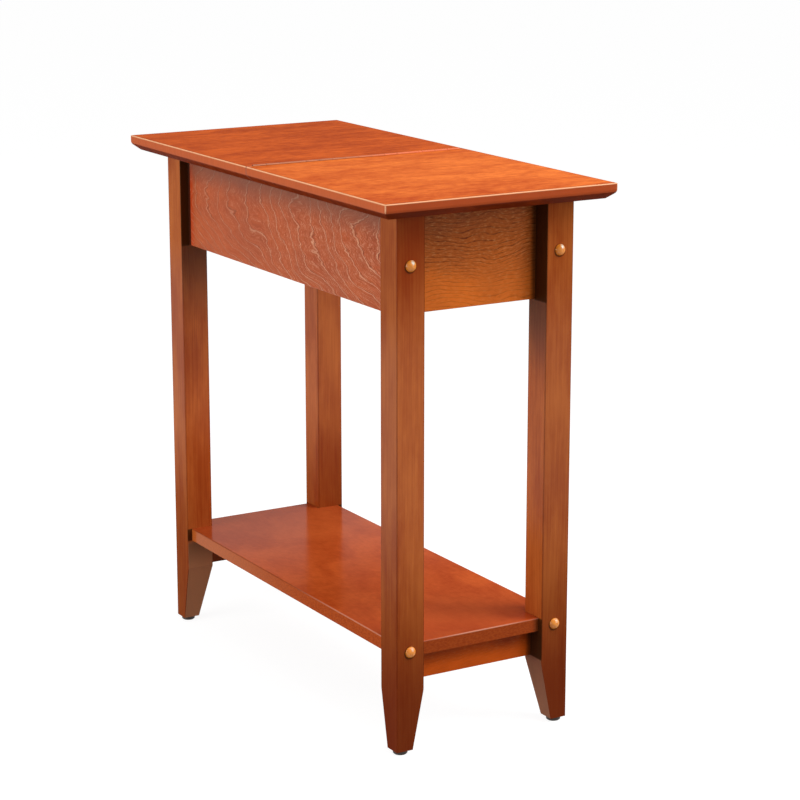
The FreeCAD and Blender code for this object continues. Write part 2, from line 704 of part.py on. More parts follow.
bolts = {"upper": [], "lower": []}
nuts = {"upper": [], "lower": []}
for side_name, side_sign in (("left", "-"), ("right", "")):
    for end_name, end_sign, tilt_in in (("front", "-", -90), ("rear", "", 90)):
        corner = f"{end_name}_{side_name}"
        glide(f"{corner}_glide", side_sign, end_sign)
        for level in ("upper", "lower"):
            height = f"{level}_bolt_z"
            bolt = leg_bolt(f"{corner}_{level}_bolt")
            place(bolt, f"{side_sign}leg_mid_x", f"{end_sign}bolt_seat_y", height, tilt=tilt_in)
            bolts[level].append(bolt)
            nut = barrel_nut(f"{corner}_{level}_nut")
            # The upper nuts lie across the side aprons, the lower ones stand in the shelf
            lean = 90 if level == "upper" else 0
            place(nut, f"{side_sign}leg_mid_x", f"{end_sign}nut_y", height, lean=lean)
            nuts[level].append(nut)
            plug = button_plug(f"{corner}_{level}_plug")
            place(plug, f"{side_sign}leg_mid_x", f"{end_sign}leg_out_y", height, tilt=-tilt_in)
            keep(plug, f"{corner}_{level}_plug")
for level in ("upper", "lower"):
    group(f"{level}_leg_bolts", bolts[level])
    group(f"{level}_barrel_nuts", nuts[level])


# Dowels between the legs and the short boards


def dowel(name):
    ends = "dowel_length / 2"
    radius = "dowel_diameter / 2"
    return turned(name, [("0", f"-{ends}"), (f"{radius} - dowel_bevel", f"-{ends}"),
                         (radius, f"-{ends} + dowel_bevel"), (radius, f"{ends} - dowel_bevel"),
                         (f"{radius} - dowel_bevel", ends), ("0", ends)])


for rail, mid_y, mid_z in (("apron", "end_apron_mid", "upper_bolt_z"),
                           ("stretcher", "stretcher_mid_y", "stretcher_mid_z")):
    for end_name, end_sign in (("front", "-"), ("rear", "")):
        made = []
        for side_name, side_sign in (("left", "-"), ("right", "")):
            for tag, sign in (("low", "-"), ("high", "+")):
                peg = dowel(f"{end_name}_{rail}_{side_name}_{tag}_dowel")
                place(peg, f"{side_sign}leg_in_x", f"{end_sign}{mid_y}",
                      f"{mid_z} {sign} {rail}_dowel_spread / 2", lean=90)
                made.append(peg)
        group(f"{end_name}_{rail}_dowels", made)


# Continuous hinge: two like plates turned end for end, whose knuckles share one pin


def hinge_plate(label, turn):
    """The plate lies at +Y of the pin, which runs along X through the origin."""
    body = new_body(label)
    half = "hinge_length / 2"
    pad(body, "plate", "YZ",
        rectangle("plate_gap / 2", "plate_back", "-plate_height", "-plate_notch"), f"-{half}", half)
    for i in range(SIZES["knuckle_pairs"]):
        low = f"-{half} + {2 * i} * knuckle_pitch + knuckle_gap / 2"
        high = f"-{half} + {2 * i + 1} * knuckle_pitch - knuckle_gap / 2"
        pad(body, f"tail_{i + 1}", "YZ",
            rectangle("plate_gap / 2", "plate_back", "-plate_notch", "0"), low, high)
        ring = sketch_on(body, f"ring_{i + 1}", "YZ", f"(({low}) + ({high})) / 2")
        circle(ring, "0", "0", "knuckle_diameter / 2")
        knuckle = body.newObject("PartDesign::Pad", f"knuckle_{i + 1}")
        knuckle.Profile = ring
        between(knuckle, low, high)
    bore(body, "pin_hole", "YZ", "0", "0", "pin_diameter / 2 + pin_fit",
         f"-{half} - cut_past", f"{half} + cut_past")
    for i in range(SIZES["hinge_screws"]):
        spot = f"hinge_screw_pitch * ({i} + 0.5) - {half}"
        bore(body, f"screw_hole_{i + 1}", "XZ", spot, "-hinge_screw_drop", "hinge_screw_hole",
             "0", "plate_back + cut_past")
        bore(body, f"screw_seat_{i + 1}", "XZ", spot, "-hinge_screw_drop",
             "hinge_screw_head / 2 + screw_fit", "0", "plate_gap / 2 + hinge_screw_head_height")
    place(body, z="hinge_z", turn=turn)
    keep(body, label)


hinge_plate("fixed_hinge_plate", 0)
hinge_plate("moving_hinge_plate", 180)

pin = doc.addObject("Part::Cylinder", "hinge_pin")
pin.setExpression("Radius", sized("pin_diameter / 2"))
pin.setExpression("Height", sized("hinge_length"))
place(pin, "-hinge_length / 2", z="hinge_z", lean=90)
keep(pin, "hinge_pin")

for moving, sign, tilt_in in (("fixed", "", -90), ("moving", "-", 90)):
    made = []
    for i in range(SIZES["hinge_screws"]):
        screw = flat_screw(f"{moving}_hinge_screw_{i + 1}", "hinge_screw_head", "hinge_screw_head_height",
                           "hinge_screw_diameter", "hinge_screw_length")
        place(screw, f"hinge_screw_pitch * ({i} + 0.5) - hinge_length / 2", f"{sign}plate_gap / 2",
              "hinge_z - hinge_screw_drop", tilt=tilt_in)
        made.append(screw)
    group(f"{moving}_hinge_screws", made)


# Check everything, then write one file per sub-part

doc.recompute()
failed = [o.Name for o in doc.Objects if "Invalid" in o.State or "Error" in o.State]
if failed:
    raise RuntimeError(f"not built: {failed}")
for item in doc.Objects:
    if item.isDerivedFrom("PartDesign::Pocket") and item.BaseFeature is not None:
        if item.Shape.Volume > item.BaseFeature.Shape.Volume - NEAR:
            raise RuntimeError(f"{item.Name} cuts nothing")
for label, piece in nodes.items():
    if piece.Shape.isNull() or not piece.Shape.isValid() or not piece.Shape.Solids:
        raise RuntimeError(f"{label} is not a sound solid")

os.makedirs("parts", exist_ok=True)
for label, piece in nodes.items():
    piece.Shape.exportStep(f"parts/{label}.step")
print(f"{len(nodes)} sub-parts, {sum(len(p.Shape.Solids) for p in nodes.values())} solids")
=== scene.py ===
# %% [markdown]
# # Dressing a lift top end table
# The packed CAD model already has every board, plug, glide and hinge of the table in its right place.
# What it lacks is the look of the real one: cherry-stained wood under a satin lacquer.
# In this lesson each board gets its own cut of wood, worked out from its Object coordinates,
# so that the figure is as large as it would be on the bench and moves with the board.

import math

import bpy
import numpy as np
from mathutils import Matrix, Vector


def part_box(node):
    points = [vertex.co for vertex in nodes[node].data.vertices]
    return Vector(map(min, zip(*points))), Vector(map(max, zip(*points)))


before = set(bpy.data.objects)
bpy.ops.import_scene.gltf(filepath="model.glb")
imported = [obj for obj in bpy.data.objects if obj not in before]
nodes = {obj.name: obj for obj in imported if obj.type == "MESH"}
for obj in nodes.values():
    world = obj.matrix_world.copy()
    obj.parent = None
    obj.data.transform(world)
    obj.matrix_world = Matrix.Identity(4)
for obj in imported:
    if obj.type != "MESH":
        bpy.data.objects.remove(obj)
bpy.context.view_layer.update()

# %% [markdown]
# ## Places to paint by
# A stain is darker in a corner and a lacquer is thin on an arris, so the finishes have to know where
# the boards end. Those places could be typed in again, but then a new pack would leave them behind.
# They are read from the boxes of the nodes instead. The middle of the table is at X = 0 and Y = 0,
# so one box is enough for the pieces that come in mirrored pairs.

# %% Read the places from the boxes of the nodes
MM = 0.001


def middle(name):
    """The middle of a node's box."""
    low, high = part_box(name)
    return (low + high) / 2


leaf_low, leaf_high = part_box("lift_leaf")
leg_low, leg_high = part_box("rear_right_leg")
side_low, side_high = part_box("left_side_apron")
end_low, end_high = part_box("front_apron")
shelf_low, shelf_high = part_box("lower_shelf")
stretcher_low, stretcher_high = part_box("front_stretcher")
leg_middle = middle("rear_right_leg")
lower_plug = middle("front_right_lower_plug")
upper_plug = middle("front_right_upper_plug")
hinge_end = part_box("hinge_pin")[1].x
print("leaf", tuple(leaf_high - leaf_low), "leg", tuple(leg_high - leg_low))

# %% [markdown]
# ## Maths for materials
# A finish is made of many small effects, and each of them takes a few nodes. They could be wired one
# by one, but a long chain of nodes is hard to read. The class below wraps a socket, so that a finish
# is written as a Python expression and its nodes follow by themselves.


# %% One class for the maths of a material
class Flow:
    """A socket of a material. Sums of flows and numbers are written as in Python."""

    def __init__(self, tree, socket):
        self.tree = tree
        self.socket = socket

    def node(self, kind, settings=None, sockets=None, output=0):
        """Add a node of a kind: first its settings, then the values or links of its sockets."""
        made = self.tree.nodes.new(kind)
        for name, setting in (settings or {}).items():
            setattr(made, name, setting)
        for name, value in (sockets or {}).items():
            if isinstance(value, Flow):
                self.tree.links.new(value.socket, made.inputs[name])
            else:
                made.inputs[name].default_value = value
        return Flow(self.tree, made.outputs[output]) if made.outputs else None

    def maths(self, operation, first, second):
        """A Math node on two values."""
        return self.node("ShaderNodeMath", {"operation": operation}, {0: first, 1: second})

    def __add__(self, other):
        return self.maths("ADD", self, other)

    def __radd__(self, other):
        return self.maths("ADD", other, self)

    def __sub__(self, other):
        return self.maths("SUBTRACT", self, other)

    def __rsub__(self, other):
        return self.maths("SUBTRACT", other, self)

    def __mul__(self, other):
        return self.maths("MULTIPLY", self, other)

    def __rmul__(self, other):
        return self.maths("MULTIPLY", other, self)

    def __truediv__(self, other):
        return self.maths("DIVIDE", self, other)

    def __pow__(self, other):
        return self.maths("POWER", self, other)

    def __abs__(self):
        return self.node("ShaderNodeMath", {"operation": "ABSOLUTE"}, {0: self})

    def part(self):
        """What is left of a value above its whole number."""
        return self.node("ShaderNodeMath", {"operation": "FRACT"}, {0: self})

    def either(self, other):
        """The larger of two values."""
        return self.maths("MAXIMUM", self, other)

    def step(self, start, end):
        """0 before start, 1 past end and a smooth rise between; start may be the larger one."""
        return self.node("ShaderNodeMapRange", {"interpolation_type": "SMOOTHSTEP"},
                         {"Value": self, "From Min": start, "From Max": end})

    def short_of(self, face, start, end):
        """A step between two distances short of a face, in millimetres; past it they are negative."""
        return self.step(face - start * MM, face - end * MM)

    def axes(self):
        """The three numbers of a vector."""
        apart = self.node("ShaderNodeSeparateXYZ", None, {0: self}).socket.node
        return [Flow(self.tree, socket) for socket in apart.outputs]

    def stretched(self, scale, shift=(0, 0, 0)):
        """A vector times one factor for each axis, plus a shift."""
        return self.node("ShaderNodeVectorMath", {"operation": "MULTIPLY_ADD"},
                         {0: self, 1: scale, 2: shift})

    def noise(self, detail=2.0, roughness=0.5, distortion=0.0):
        """Smooth noise from 0 to 1 at a place, whose lumps are one unit wide."""
        return self.node("ShaderNodeTexNoise", None,
                         {"Vector": self, "Scale": 1.0, "Detail": detail, "Roughness": roughness,
                          "Distortion": distortion})

    def mixed(self, first, second):
        """The first colour where this flow is 0, the second where it is 1."""
        return self.node("ShaderNodeMix", {"data_type": "RGBA"}, {0: self, 6: first, 7: second}, 2)


print("a flow can", [name for name in vars(Flow) if not name.startswith("_")])


# %% Colours and empty materials
def srgb(red, green, blue):
    """A colour as a paint shop reads it, from 0 to 255, in the linear numbers that a shader takes."""
    share = np.array([red, green, blue]) / 255
    linear = np.where(share <= 0.04045, share / 12.92, ((share + 0.055) / 1.055) ** 2.4)
    return (*linear.tolist(), 1.0)


def new_material(name):
    """An empty material and the flow of its Object coordinates."""
    material = bpy.data.materials.new(name)
    material.use_nodes = True
    material.node_tree.nodes.clear()
    coordinates = material.node_tree.nodes.new("ShaderNodeTexCoord")
    return material, Flow(material.node_tree, coordinates.outputs["Object"])


print("mid grey is", srgb(128, 128, 128))

# %% [markdown]
# ## The photographer's stand
# The table stands on a white floor that runs out of sight, as on a roll of studio paper.
# A flat plane would do, but its edge shows in a low view, so the floor is a wide disc.
# Its light comes in two parts: a pale paint that takes the shadow of the feet, and a glow that only
# the camera and reflections see, which lifts the rest of it to white without lighting the table.

# %% Floor, as a disc in rings that widen outwards
FLOOR_REACH = 30.0
FLOOR_RINGS = 12
FLOOR_SPOKES = 64


def disc_surface(reach, rings, spokes):
    """Points at radius reach * u ** 2 and angle 2 pi v, for u and v from 0 to 1.

    All points of the middle are one, from which a fan of triangles runs to the first ring.
    """
    radius = reach * np.linspace(0, 1, rings + 1)[1:] ** 2
    angle = 2 * np.pi * np.arange(spokes) / spokes
    ring_radius, ring_angle = np.meshgrid(radius, angle, indexing="ij")
    flat = np.zeros_like(ring_radius)
    points = np.stack([ring_radius * np.cos(ring_angle), ring_radius * np.sin(ring_angle), flat], axis=-1)
    points = np.vstack([np.zeros((1, 3)), points.reshape(-1, 3)])
    ring, spoke = np.meshgrid(np.arange(rings - 1), np.arange(spokes), indexing="ij")
    here = 1 + ring * spokes + spoke
    beside = 1 + ring * spokes + (spoke + 1) % spokes
    quads = np.stack([here, here + spokes, beside + spokes, beside], axis=-1).reshape(-1, 4)
    first = np.arange(spokes)
    fan = np.stack([np.zeros(spokes, int), 1 + first, 1 + (first + 1) % spokes], axis=-1)
    return points, fan.tolist() + quads.tolist()


floor_points, floor_faces = disc_surface(FLOOR_REACH, FLOOR_RINGS, FLOOR_SPOKES)
floor_mesh = bpy.data.meshes.new("floor")
floor_mesh.from_pydata(floor_points.tolist(), [], floor_faces)
floor = bpy.data.objects.new("floor", floor_mesh)
bpy.context.scene.collection.objects.link(floor)
print("floor faces", len(floor_faces))

# %% Floor paint and glow
FLOOR_PAINT = 0.25
FLOOR_GLOW = 0.90


def seen_directly(flow):
    """1 for the camera, for reflections and through glass, 0 for light that bounces."""
    paths = flow.node("ShaderNodeLightPath").socket.node
    camera_ray = Flow(flow.tree, paths.outputs["Is Camera Ray"])
    glossy_ray = Flow(flow.tree, paths.outputs["Is Glossy Ray"])
    through_ray = Flow(flow.tree, paths.outputs["Is Transmission Ray"])
    return camera_ray.either(glossy_ray).either(through_ray)


def studio_paper():
    """A matt paint, plus a glow that lights nothing else."""
    material, place = new_material("studio_paper")
    paint = place.node("ShaderNodeBsdfDiffuse", None, {"Color": (FLOOR_PAINT,) * 3 + (1.0,)})
    glow = place.node("ShaderNodeEmission", None, {"Strength": seen_directly(place) * FLOOR_GLOW})
    both = place.node("ShaderNodeAddShader", None, {0: paint, 1: glow})
    both.node("ShaderNodeOutputMaterial", None, {"Surface": both})
    return material


floor.data.materials.append(studio_paper())
print("floor paint", FLOOR_PAINT, "glow", FLOOR_GLOW)

# %% [markdown]
# ## Camera and lamps
# The photograph looks down a little on the near corner of the lifting leaf, through a long lens.
# The camera's place was worked out from the corners of the table, so it is written as a place, a heading
# and a dip rather than found by eye. Four wide soft lamps and a pale surround light the table,
# strong enough that a colour comes out about as it is written and no stronger. The key lamp hangs
# high on the right, so that the crowns of the button plugs catch it.

# %% Camera
IMAGE_PIXELS = 800
LENS_PIXELS = 2457.5
SENSOR_WIDTH = 36.0
CAMERA_PLACE = (-1.3747, -2.4108, 1.0072)
CAMERA_HEADING = math.radians(30.673)
CAMERA_DIP = math.radians(13.784)

camera = bpy.data.objects.new("camera", bpy.data.cameras.new("camera"))
camera.data.sensor_width = SENSOR_WIDTH
camera.data.lens = LENS_PIXELS / IMAGE_PIXELS * SENSOR_WIDTH
camera.location = CAMERA_PLACE
camera.rotation_euler = (math.pi / 2 - CAMERA_DIP, 0.0, -CAMERA_HEADING)
bpy.context.scene.collection.objects.link(camera)
bpy.context.scene.camera = camera
bpy.context.scene.view_settings.view_transform = "Standard"
print("lens", round(camera.data.lens, 1), "mm")

# %% Lamps
LIT_POINT = np.array([0.0, 0.0, 0.4])


def soft_lamp(name, place, width, watts):
    """A square lamp that faces the table, turned so that its -Z axis runs from its place to the table."""
    lamp = bpy.data.objects.new(name, bpy.data.lights.new(name, "AREA"))
    lamp.data.size = width
    lamp.data.energy = watts
    lamp.location = place
    reach = LIT_POINT - np.array(place)
    across = math.hypot(reach[0], reach[1])
    lamp.rotation_euler = (math.atan2(across, -reach[2]), 0.0, math.atan2(-reach[0], reach[1]))
    bpy.context.scene.collection.objects.link(lamp)
    print(name, watts, "W")


soft_lamp("left_lamp", place=(-2.4, 0.1, 0.75), width=1.4, watts=32)
soft_lamp("top_lamp", place=(0.3, -0.6, 2.6), width=1.4, watts=26)
soft_lamp("key_lamp", place=(1.6, -1.5, 2.1), width=1.0, watts=28)
soft_lamp("front_lamp", place=(1.0, -2.4, 0.9), width=1.2, watts=13)

# %% Surround, white to look at and dimmer as a light
SURROUND = 0.44

world = bpy.data.worlds.new("surround")
world.use_nodes = True
world.node_tree.nodes.clear()
sky = Flow(world.node_tree, None)
direct = seen_directly(sky)
backdrop = sky.node("ShaderNodeBackground", None, {"Strength": direct + (1 - direct) * SURROUND})
sky.node("ShaderNodeOutputWorld", None, {"Surface": backdrop})
bpy.context.scene.world = world
print("surround", SURROUND)

# %% [markdown]
# ## What makes a board look like wood
# A board shows the growth rings of its tree where the saw cut through them, and fine fibres that run
# along those rings. A picture of wood could be wrapped round each board, but it would repeat and
# stretch. Here the rings are a number that grows across the board, one for each ring.
# Whatever bends that number bends the lines, and the fibres follow them.


# %% Helpers for wood
def fibres(rings, along, fineness, length):
    """Streaks that follow the rings: noise that is fine across them and drawn out along them."""
    point = rings.node("ShaderNodeCombineXYZ", None, {0: rings * fineness, 1: along / length})
    return point.noise(detail=3.0, roughness=0.6)


def lacquered(material, colour, roughness, height, relief, look):
    """Close a material with a Principled shader: what varies is linked, what is constant is set."""
    bump = height.node("ShaderNodeBump", None, {"Height": height, "Distance": relief})
    shader = height.node("ShaderNodeBsdfPrincipled", None,
                         {"Base Color": colour, "Roughness": roughness, "Normal": bump, **look})
    shader.node("ShaderNodeOutputMaterial", None, {"Surface": shader})
    return material


def finish(material, *names):
    """Give the named nodes a material in place of the plain one from the pack."""
    for name in names:
        nodes[name].material_slots[0].material = material
    print(material.name, "on", len(names), "nodes")


# The stain lies under the lacquer, so only the coat on top of it shines
SATIN = {"Specular IOR Level": 0.0, "Coat Weight": 0.10, "Coat Roughness": 0.22}
print("satin lacquer", SATIN)

# %% [markdown]
# ## Top leaves
# The two leaves are wide smooth panels with a cloudy, finely mottled figure and hardly any lines.
# Their outer arrises show as pale lines, which are a painted highlight. A bevel in the mesh catches some
# real light there too, as the CAD boards already have it, and the painted highlight is added to the
# colour, by measuring how far a point is from two faces at once.

# %% Places on a leaf
BEVEL_HEIGHT = 7.5 * MM
FRONT_END = (-200 * MM, -300 * MM)
RIGHT_HALF = (0.0, 100 * MM)
NEAR_SEAM = (-120 * MM, -40 * MM)


# Painted highlight: the rounded arrises are painted pale where the light would catch them
def painted_arris_highlight(x, y, z):
    """1 on the rounded arrises of the leaf, where a point is near two of its outer faces at once."""
    side = abs(x).short_of(leaf_high.x, 1.5, 0.6)
    end = abs(y).short_of(-leaf_low.y, 1.5, 0.6)
    top = z.short_of(leaf_high.z, 1.5, 0.6)
    return (side * end).either(top * side.either(end))


def leaf_figure(place, lean, shift):
    """The tone of a leaf, from 0 for dark to 1 for light, and its grain, which runs along X.

    With a lean, the tone rises to the right and falls at the front end and at the right of the seam.
    """
    x, y, z = place.axes()
    clouds = place.stretched((8, 20, 13), shift).noise(detail=9.0, roughness=0.75, distortion=0.3)
    rings = y / (12 * MM) + place.stretched((9, 14, 9), shift).noise(detail=2.0) * 3.0
    grain = fibres(rings, x, 3.0, 30 * MM)
    mottles = place.stretched((90, 150, 120), shift).noise(detail=4.0, roughness=0.65)
    tone = clouds.step(0.36, 0.66) * 0.54 + grain.step(0.3, 0.7) * 0.16 + mottles.step(0.3, 0.7) * 0.3
    tone = tone + lean * (x.step(-leaf_high.x, leaf_high.x) - y.step(*FRONT_END))
    return tone - lean * x.step(*RIGHT_HALF) * y.step(*NEAR_SEAM), grain


print("the bevel ends at", round(leaf_low.z + BEVEL_HEIGHT, 4))

# %% Top leaf finish
LEAF_RIM = srgb(140, 58, 18)
LEAF_LINE = srgb(96, 36, 14)
BAND_END_SHADED = srgb(184, 78, 33)
BAND_SIDE_LIT = srgb(208, 101, 55)
BEVEL_SHADE_LIGHT = srgb(148, 57, 21)
BEVEL_SHADE_DARK = srgb(122, 44, 16)
ARRIS_HIGHLIGHT = srgb(252, 194, 148)
SEAM_PALE = srgb(186, 126, 108)


def leaf_wood(name, light, dark, lean, shift):
    """A cloudy face with a darker rim and a painted highlight on the arrises, plain edges painted lighter
    or darker as the light falls, and a bevel below them painted dark for shade.
    """
    material, place = new_material(name)
    x, y, z = place.axes()
    tone, grain = leaf_figure(place, lean, shift)
    on_face = z.short_of(leaf_high.z, 1.0, 0.2)
    on_side = abs(x).short_of(leaf_high.x, 1.0, 0.2)
    on_bevel = z.short_of(leaf_low.z + BEVEL_HEIGHT, -0.3, 0.5)
    # The edges: a plain band, painted lighter on the faces across X and darker on those across Y as the
    # light falls, above a bevel painted darker for shade, with faint lines
    bevel = tone.step(0.2, 0.8).mixed(BEVEL_SHADE_DARK, BEVEL_SHADE_LIGHT)
    edge = on_bevel.mixed(on_side.mixed(BAND_END_SHADED, BAND_SIDE_LIT), bevel)
    edge = (grain.step(0.7, 0.3) * 0.1).mixed(edge, LEAF_LINE)
    # The face, a little darker along its rim
    rim = abs(x).short_of(leaf_high.x, 4.0, 1.5).either(abs(y).short_of(-leaf_low.y, 7.0, 2.0))
    face = (rim * 0.4).mixed(tone.mixed(dark, light), LEAF_RIM)
    # The painted highlight on the arrises, and the pale line of the hinge carried on along the seam
    wood = (painted_arris_highlight(x, y, z) * 0.85).mixed(on_face.mixed(edge, face), ARRIS_HIGHLIGHT)
    past_hinge = abs(y).step(2.2 * MM, 1.0 * MM) * abs(x).short_of(hinge_end, 1.0, 0.0)
    colour = (past_hinge * (0.3 + 0.4 * on_face)).mixed(wood, SEAM_PALE)
    gloss = 0.16 - 0.11 * on_face.either(on_bevel)
    return lacquered(material, colour, 0.4 + grain * 0.12, grain, 0.05 * MM,
                     {**SATIN, "Coat Weight": gloss})


finish(leaf_wood("lift_leaf_cherry", srgb(240, 126, 54), srgb(182, 69, 24),
                 lean=0.22, shift=(0, 0, 0)),
       "lift_leaf")
finish(leaf_wood("rear_leaf_cherry", srgb(222, 102, 38), srgb(160, 60, 22),
                 lean=0.0, shift=(3.1, 5.3, 0)),
       "rear_top_leaf")

# %% [markdown]
# ## Legs
# The legs are sawn straight from the plank, so their grain is a set of upright streaks. Each leg comes
# from another plank, and its faces across X and across Y are painted in two tones, lighter or darker as
# the light falls on them. Painted shade makes the feet and the inner faces near the shelf redder and
# darker, a painted shadow of the top darkens the heads of the end faces, and the inner tapers are painted
# pale for the light and reflection of the white floor. Stain has gathered along the arrises, and painted
# shadow lies round the plugs and in the recesses outside the boards. They are all masks on one colour.

# %% Painted shadow beside the boards
PAINTED_SHADOW = srgb(74, 40, 16)
PAINTED_SHADOW_GREY = srgb(70, 54, 33)
FADE_HEIGHT = 110.0


def recess_shadow(x, y, z):
    """Two masks of painted shadow: the recesses outside the boards, and the shadow that fades out below
    two of them.
    """
    inner_x = abs(x).short_of(end_high.x, -1.0, -0.2)
    inner_y = abs(y).short_of(side_high.y, -1.0, -0.2)
    past_end = inner_x * abs(y).short_of(-end_low.y, 1.0, 0.0)
    past_side = inner_y * abs(x).short_of(-side_low.x, 1.0, 0.0)
    by_apron = z.short_of(end_low.z, 2.0, 0.0)
    below_top = z.short_of(shelf_high.z, -1.0, 1.0)
    by_rail = z.short_of(stretcher_low.z, 1.0, -1.0) * below_top
    by_shelf = z.short_of(shelf_low.z, 1.0, -1.0) * below_top
    deep = (past_end * by_apron.either(by_rail)).either(past_side * by_apron.either(by_shelf))
    right = x.step(0.0, 1.0 * MM)
    behind = y.step(0.0, 1.0 * MM)
    two_walls = (right * (1 - behind) * inner_x * 0.68).either((1 - right) * behind * inner_y * 0.80)
    return deep, z.short_of(end_low.z, FADE_HEIGHT, 0.0) * two_walls


print("the aprons' recesses start at", round(end_low.z, 4))

# %% Places round the plugs
PLUG_RADIUS = 6.3 * MM
HALFWAY_UP = 300 * MM


def from_plug(x, z):
    """How far a point of an end face is to the right of the nearest plug's middle, and how far above."""
    on_right = x.step(-1.0 * MM, 1.0 * MM)
    is_upper = z.step(HALFWAY_UP, HALFWAY_UP + 1.0 * MM)
    right = x - (2 * on_right - 1) * lower_plug.x
    above = z - lower_plug.z - is_upper * (upper_plug.z - lower_plug.z)
    return right, above


def spot(right, above, offset, radius, soft):
    """1 within a radius of a place that is offset to the right and upwards by the two offsets."""
    across = right - offset[0]
    up = above - offset[1]
    return ((across * across + up * up) ** 0.5).step(radius + soft, radius)


print("plugs at heights", round(lower_plug.z, 4), round(upper_plug.z, 4))

# %% Painted shade along a leg
FOOT_SHADOW = srgb(104, 32, 12)
HEAD_SHADOW = srgb(134, 41, 13)
FOOT_OUTSIDE = (260 * MM, 30 * MM)
FOOT_INSIDE = (300 * MM, 120 * MM)
HEAD_RISE = (420 * MM, 560 * MM)


def leg_figure(place, shift):
    """The tone of a leg, from 0 for dark to 1 for light, and its grain: upright streaks and clouds."""
    x, y, z = place.axes()
    rings = (x + y) / (9 * MM) + place.stretched((12, 12, 3), shift).noise(detail=2.0) * 2.2
    grain = fibres(rings, z, 5.0, 120 * MM)
    clouds = place.stretched((20, 20, 6), shift).noise(detail=5.0, roughness=0.6)
    return grain.step(0.3, 0.7) * 0.35 + clouds.step(0.35, 0.65) * 0.65, grain


def painted_leg_shade(wood, z, outer, on_end, head, foot, taper):
    """Painted shade, redder and darker, low on the leg, painted shadow of the top at the head of its end
    face, and the inner faces below the shelf painted pale for the light and reflection of the floor, with
    painted shadow just under the shelf.
    """
    low_outside = z.step(*FOOT_OUTSIDE) * outer * foot[0]
    low_inside = z.step(*FOOT_INSIDE) * (1 - outer) * foot[1]
    wood = (low_outside + low_inside).mixed(wood, FOOT_SHADOW)
    wood = (z.step(*HEAD_RISE) * on_end * head).mixed(wood, HEAD_SHADOW)
    bare = z.short_of(shelf_low.z, -1.0, 6.0) * (1 - outer) * 0.85
    wood = bare.mixed(wood, taper)
    return (bare * z.short_of(shelf_low.z, 45.0, 0.0) * 0.7).mixed(wood, PAINTED_SHADOW_GREY)


print("foot shade ends at", FOOT_OUTSIDE[0], "and head shade starts at", HEAD_RISE[0])

# %% Leg finish
LEG_LIGHT = srgb(206, 112, 50)
LEG_DARK = srgb(164, 70, 24)
LEG_ARRIS = srgb(112, 44, 16)
END_GRAIN = srgb(188, 104, 54)
TAPER_FLOOR_LIGHT_GREY = srgb(176, 122, 96)
TAPER_FLOOR_LIGHT_TAN = srgb(236, 160, 116)
GLOSS_RISE = (120 * MM, 300 * MM)
GLOSS_FALL = (540 * MM, 420 * MM)


def scaled(colour, share):
    """A colour made lighter or darker, without touching its alpha."""
    return (*[part * share for part in colour[:3]], 1.0)


def leg_wood(corner, side_lighting, end_lighting, head, foot, taper, shift):
    """Upright streaks, painted lighter or darker for the light by one tone on the faces across X and by
    another across Y.

    Head is the strength of the painted shadow of the top on the end face, foot the strengths of the
    painted shade on the outer and on the inner faces, and taper the colour painted on the inner faces
    below the shelf for the light and reflection of the floor.
    """
    material, place = new_material(f"{corner}_leg_cherry")
    x, y, z = place.axes()
    tone, grain = leg_figure(place, shift)
    # Two tones painted for the light, one on the faces across X and one across Y, with a dark line along
    # the arris where their faces meet
    side_wood = tone.mixed(scaled(LEG_DARK, side_lighting), scaled(LEG_LIGHT, side_lighting))
    end_wood = tone.mixed(scaled(LEG_DARK, end_lighting), scaled(LEG_LIGHT, end_lighting))
    side_over_end = abs(abs(x) - leg_middle.x) - abs(abs(y) - leg_middle.y)
    on_side = side_over_end.step(-0.5 * MM, 0.5 * MM)
    arris = abs(side_over_end).step(2.0 * MM, 0.5 * MM) * z.short_of(stretcher_low.z, 0.0, -5.0)
    wood = (arris * 0.45).mixed(on_side.mixed(end_wood, side_wood), LEG_ARRIS)
    # Painted shade by height, and painted shadow round the plugs
    on_end = abs(y).short_of(leg_high.y, 1.0, 0.2)
    outer = abs(x).short_of(leg_high.x, 1.0, 0.2).either(on_end)
    wood = painted_leg_shade(wood, z, outer, on_end, head, foot, taper)
    # Painted shadow in a ring round each plug, set a little down and to the left
    plug_shadow = spot(*from_plug(x, z), (-0.6 * MM, -0.6 * MM), PLUG_RADIUS + 0.4 * MM, 1.2 * MM)
    wood = (plug_shadow * on_end * 0.75).mixed(wood, PAINTED_SHADOW)
    # Bare end grain on top, and painted shadow in the recesses below it
    sawn = z.short_of(leg_high.z, 0.5, 0.1)
    wood = sawn.mixed(wood, tone.mixed(LEG_DARK, END_GRAIN))
    deep, fading = recess_shadow(x, y, z)
    # Painted shadow that fades out below the aprons, darker on the rear-left leg and greyer on the
    # front-right one
    wood = (fading * (1 - sawn)).mixed(wood, x.step(0.0, 1.0 * MM).mixed(PAINTED_SHADOW, PAINTED_SHADOW_GREY))
    recess = deep * (1 - sawn) * 0.93
    colour = recess.mixed(wood, PAINTED_SHADOW)
    # The lacquer shines halfway up the leg and is dull in the recesses
    gloss = 0.05 + 0.32 * z.step(*GLOSS_RISE) * (on_side * 0.4).either(z.step(*GLOSS_FALL))
    gloss = gloss * (1 - recess * recess)
    return lacquered(material, colour, 0.4 + grain * 0.12, grain, 0.06 * MM,
                     {**SATIN, "Coat Weight": gloss})


